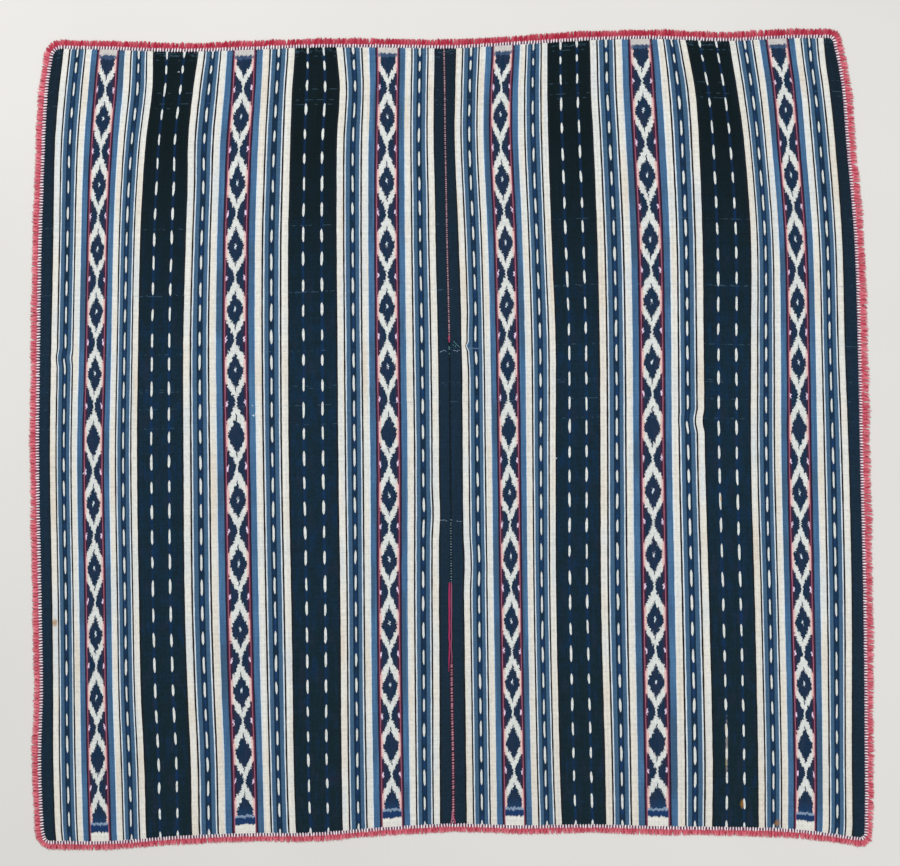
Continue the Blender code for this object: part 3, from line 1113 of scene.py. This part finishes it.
# The sewing of the middle seam
# The webs are whipped together edge to edge in rose yarn above and below the neck slit and in pale thread
# under it. A doubled magenta mend, darning, and stays at both ends of the slit are worked over that.
STITCH_SIDES = 6
STITCH_STEPS = 8
STITCH_GIRTHS = (0.7, 1.0, 1.05, 1.0, 0.7)
Seam = namedtuple("Seam", "name top bottom pitch half_span girth lift slant_deg colour side_colour")
# Each whip's last colour is painted shade down the sides of its stitches, and also flecks its yarn
SEAMS = (
    Seam("upper_whip", 684, 176, 3.4, 2.3, 2.0, 0.7, 34, shade(172, 140, 152), shade(50, 24, 36)),
    Seam("pale_whip", -144, -252, 4.7, 2.6, 1.8, 0.7, 18, shade(96, 118, 126), shade(12, 30, 38)),
    Seam("lower_whip", -392, -672, 4.5, 3.4, 2.8, 0.9, 38, shade(172, 120, 137), shade(62, 28, 43)),
)

# Loose runs of yarn, and a flat dark strip of painted shadow under the mend, laid through points: how far
# across and along each is, and the girth there
MEND_SHADOW = (
    (-2.9, -250, 6.0), (-3.0, -280, 9.0), (-3.0, -340, 9.0), (-2.6, -385, 7.0), (-2.2, -404, 4.0),
)
MEND_LEFT = (
    (-4.0, -250, 2.2), (-4.2, -258, 3.4), (-4.4, -280, 3.8), (-4.1, -303, 3.4), (-4.4, -317, 3.2),
    (-3.9, -331, 3.2), (-4.6, -345, 3.4), (-3.3, -358, 3.0), (-4.0, -371, 2.9), (-4.7, -383, 2.6),
    (-4.9, -394, 1.9), (-5.2, -407, 0.9),
)
MEND_RIGHT = (
    (-0.6, -251, 1.8), (-0.4, -262, 2.4), (-0.7, -285, 2.6), (-0.2, -300, 2.2), (-0.9, -325, 2.0),
    (-0.3, -345, 1.9), (-1.0, -362, 1.8), (0.3, -380, 1.9), (-0.2, -392, 1.6),
)
END_LEFT = ((0.6, -650, 1.5), (0.9, -658, 1.9), (0.3, -664, 2.0), (-1.4, -672, 1.8))
END_RIGHT = ((1.8, -654, 1.4), (3.0, -661, 2.0), (5.2, -666, 2.0), (6.6, -673, 1.8))
KNOT = (
    (-5.6, 182, 1.8), (-4.4, 179, 2.8), (-6.0, 176.5, 3.0), (-3.6, 174.5, 2.8), (-5.0, 172, 2.6),
    (-3.8, 169.5, 1.8),
)

# Short stitches over the cloth: how far across and along each starts and ends, and its girth
STAY_STITCHES = (
    (-21, 152.4, -17, 154.2, 1.1), (-17, 154.4, -13.2, 156, 1.3), (-13, 155.8, -9.4, 153.6, 1.1),
    (2.6, 155.2, 4.9, 156.2, 1.2), (5.0, 154.6, 7.2, 155.6, 1.2), (8.6, 153.4, 10.8, 155.2, 1.5),
    (11.6, 155.6, 14.4, 156.0, 1.1), (28, 159.0, 34.5, 158.6, 0.9), (36, 158.6, 48, 158.9, 0.9),
    (-21.5, -141.6, -16.5, -141.2, 1.0), (-16, -141.8, -12.4, -140.6, 1.1),
    (-11.6, -142.4, -8, -142.8, 1.0), (-2.4, -140.4, 1.0, -141.6, 1.3),
    (8.2, -143.2, 11.4, -143.0, 1.0), (12.6, -143.6, 17.4, -143.8, 1.0),
)
DARNING_STITCHES = (
    (3.2, 171.8, 5.6, 169.2, 1.3), (6.0, 168.6, 8.8, 165.6, 1.0), (9.2, 165.2, 12.2, 162.4, 1.0),
    (12.4, 162.0, 14.0, 161.0, 1.2), (1.6, 165.6, 3.2, 164.2, 1.4), (5.2, 162.4, 7.4, 163.6, 1.3),
    (-5.0, 162.8, -4.2, 160.0, 1.5), (-5.0, 159.4, -4.0, 156.4, 1.6), (-4.4, 151, -4.0, 148.4, 1.2),
)
SNAG_STITCHES = (
    (179.5, -31.0, 184.6, -33.2, 1.1), (180.0, -34.9, 183.4, -33.8, 0.9),
    (-349, 60, -347.4, 57.8, 1.2), (-349.2, 42.2, -345.2, 40.6, 1.2),
    (-346.6, 44.6, -347.0, 39.4, 1.0), (-343.2, 46.0, -343.8, 41.4, 0.9),
    (-645.4, -60.8, -642.8, -58.0, 1.4), (-479.5, 642.4, -475.8, 642.9, 1.2),
)


def on_cloth(across, along, height):
    """A point at a height over the cloth, from its place in millimetres."""
    x = across * MM
    y = along * MM
    return Vector((x, y, CLOTH_THICK + ripple_height(x, y) + height))


def ring_frames(points, girths, flatness):
    """A matrix for the ring of yarn at each point of a run, with its own Z along the yarn."""
    frames = []
    last = len(points) - 1
    for index, (point, girth) in enumerate(zip(points, girths)):
        ahead = points[min(index + 1, last)] - points[max(index - 1, 0)]
        turn = ahead.to_track_quat("Z", "Y").to_matrix().to_4x4()
        size = Matrix.Diagonal((girth / 2, girth / 2 * flatness, girth / 2, 1))
        frames.append(Matrix.Translation(point) @ turn @ size)
    return frames


def thread_finish(name, colour, side_colour):
    """One sewing yarn: its own colour on top, a darker colour down its sides as painted shade, flecks of that
    darker colour, and a little change by stitch.
    """
    material, wires = add_material(name, 0.8)
    light = tuple(min(1.0, part * 1.35) for part in colour[:3]) + (1.0,)
    dark = tuple(part * 0.7 for part in colour[:3]) + (1.0,)
    fibre = speckle(wires, 900.0, 2.0)
    base = kept(wires, "tone").between(dark, light).dyed(
        (abs(kept(wires, "along") - 0.5).rise(0.12, 0.2), side_colour),
        (fibre.rise(0.25, 0.5) * 0.35, side_colour),
    )
    return finish_material(material, base, fibre, 0.5, 0.0004)


def sew(name, yarns, flatness, colour, side_colour):
    """Laid yarns as one piece, each from its points, its girths there and its tone, with closed ends."""
    bm = bmesh.new()
    tone = bm.verts.layers.float.new("tone")
    along = bm.verts.layers.float.new("along")
    for points, girths, lot in yarns:
        frames = ring_frames(points, girths, flatness)
        start = bmesh.ops.create_circle(bm, cap_ends=True, radius=1, segments=STITCH_SIDES, matrix=frames[0])
        verts = start["verts"]
        laid = list(verts)
        ring = {edge for vert in verts for edge in vert.link_edges}
        for before, after in zip(frames, frames[1:]):
            grown = bmesh.ops.extrude_edge_only(bm, edges=list(ring))["geom"]
            verts = [piece for piece in grown if isinstance(piece, bmesh.types.BMVert)]
            ring = [piece for piece in grown if isinstance(piece, bmesh.types.BMEdge)]
            bmesh.ops.transform(bm, matrix=after @ before.inverted(), verts=verts)
            laid += verts
        bmesh.ops.contextual_create(bm, geom=ring)
        for vert in laid:
            vert[tone] = lot
            vert[along] = 0.5
    bmesh.ops.recalc_face_normals(bm, faces=bm.faces)
    add_piece(name, bm, thread_finish(name, colour, side_colour))


def arch_template():
    """One stitch: half a ring of yarn over the seam, from -1 to 1 along X."""
    bm = bmesh.new()
    along = bm.verts.layers.float.new("along")
    bmesh.ops.create_circle(bm, cap_ends=True, radius=0.5, segments=STITCH_SIDES,
                            matrix=Matrix.Translation((-1, 0, 0)))
    bmesh.ops.spin(bm, geom=bm.edges[:], cent=(0, 0, 0), axis=(0, 1, 0), angle=math.pi, steps=STITCH_STEPS)
    bmesh.ops.holes_fill(bm, edges=[edge for edge in bm.edges if edge.is_boundary])
    bmesh.ops.recalc_face_normals(bm, faces=bm.faces)
    for vert in bm.verts:
        vert[along] = (vert.co.x + 1) / 2
    return finished_mesh("arch_template", bm)


def seam_point(y):
    """A point on top of the seam at a height y along the warp, in the poncho's frame."""
    x = seam_line(y + MIDDLE.y) - MIDDLE.x
    return Vector((x, y, CLOTH_THICK * SELVEDGE_THIN + ripple_height(x, y)))


def whip(seam, template):
    """A run of whip stitches over the middle seam."""
    places = []
    count = round((seam.top - seam.bottom) / seam.pitch)
    for number in range(count):
        y = (seam.top - (number + 0.5) * (seam.top - seam.bottom) / count) * MM
        at = seam_point(y + chooser.uniform(-0.2, 0.2) * seam.pitch * MM)
        turn = Matrix.Rotation(math.radians(seam.slant_deg + chooser.uniform(-9, 9)), 4, "Z")
        size = Matrix.Diagonal((seam.half_span * MM, seam.girth * MM, seam.lift * MM, 1))
        places.append((Matrix.Translation(at) @ turn @ size, chooser.random()))
    finish = thread_finish(seam.name, seam.colour, seam.side_colour)
    add_piece(seam.name, repeat(template, places), finish)


def lay_run(name, rows, height, flatness, colour, side_colour):
    """A longer yarn that lies along the seam."""
    points = [on_cloth(across, along, height * MM) for across, along, _ in rows]
    girths = [girth * MM for _, _, girth in rows]
    sew(name, [(points, girths, 0.5)], flatness, colour, side_colour)


def stitch(name, rows, colour, side_colour):
    """Short stitches that come up out of the cloth, lie on it and go down again."""
    yarns = []
    for across, along, to_across, to_along, girth in rows:
        start = on_cloth(across, along, 0.0)
        end = on_cloth(to_across, to_along, 0.0)
        points = []
        for step in range(5):
            lift = math.sin(math.pi * step / 4) * 0.7 - 0.35
            points.append(start.lerp(end, step / 4) + Vector((0.0, 0.0, lift * MM)))
        girths = [girth * MM * share for share in STITCH_GIRTHS]
        yarns.append((points, girths, chooser.uniform(0.3, 1.0)))
    sew(name, yarns, 0.8, colour, side_colour)


arch = arch_template()
for seam in SEAMS:
    whip(seam, arch)
# A flat dark strip under the mend strands: painted shadow
lay_run("mend_shadow", MEND_SHADOW, -0.6, 0.2, shade(62, 28, 46), shade(46, 24, 38))
lay_run("mend_left", MEND_LEFT, 0.5, 0.6, shade(156, 50, 92), shade(112, 36, 68))
lay_run("mend_right", MEND_RIGHT, 0.6, 0.7, shade(142, 86, 108), shade(96, 50, 72))
lay_run("whip_end_left", END_LEFT, 0.5, 0.8, shade(176, 112, 134), shade(118, 56, 78))
lay_run("whip_end_right", END_RIGHT, 0.5, 0.8, shade(172, 84, 112), shade(118, 46, 70))
lay_run("whip_knot", KNOT, 0.9, 0.8, shade(168, 72, 100), shade(98, 34, 58))
stitch("slit_stays", STAY_STITCHES, shade(124, 142, 162), shade(84, 104, 124))
stitch("slit_darning", DARNING_STITCHES, shade(92, 132, 132), shade(44, 86, 84))
stitch("pulled_threads", SNAG_STITCHES, shade(214, 220, 222), shade(150, 168, 186))

# The floor, the light and the camera
# A plain pale floor, broad soft light from above, and a camera that looks straight down, as at a flat sheet.
CAMERA_LENS = 100
CAMERA_AT = Vector((-0.0031, 0.0111, 4.375))
FLOOR_HALF = 20.0
SKY_STRENGTH = 0.48


def floor_finish():
    """Smooth pale board."""
    material, wires = add_material("floor", 0.9)
    mottle = speckle(wires, 3.0, 4.0)
    pale = mottle.between(shade(222, 220, 216), shade(230, 228, 224))
    return finish_material(material, pale, mottle, 0.05, 0.001)


def add_floor():
    bm = bmesh.new()
    bmesh.ops.create_grid(bm, x_segments=8, y_segments=8, size=FLOOR_HALF)
    mesh = finished_mesh("floor", bm)
    mesh.materials.append(floor_finish())
    add_object("floor", mesh)


def add_light(name, at, size, energy):
    """A square soft light that faces the middle of the poncho."""
    light = bpy.data.lights.new(name, "AREA")
    light.size = size
    light.energy = energy
    holder = add_object(name, light)
    holder.location = at
    holder.rotation_euler = (-Vector(at)).to_track_quat("-Z", "Y").to_euler()


def add_camera():
    lens = bpy.data.cameras.new("camera")
    lens.lens = CAMERA_LENS
    holder = add_object("camera", lens)
    holder.location = CAMERA_AT
    bpy.context.scene.camera = holder


add_floor()
add_light("key", (-1.6, 2.2, 2.6), 1.6, 58)
add_light("fill", (1.8, -0.8, 3.4), 2.5, 52)
add_camera()
world = bpy.data.worlds.new("studio")
world.use_nodes = True
sky = world.node_tree.nodes["Background"].inputs
sky["Color"].default_value = (1.0, 1.0, 1.0, 1.0)
sky["Strength"].default_value = SKY_STRENGTH
bpy.context.scene.world = world
bpy.context.scene.view_settings.view_transform = "Standard"
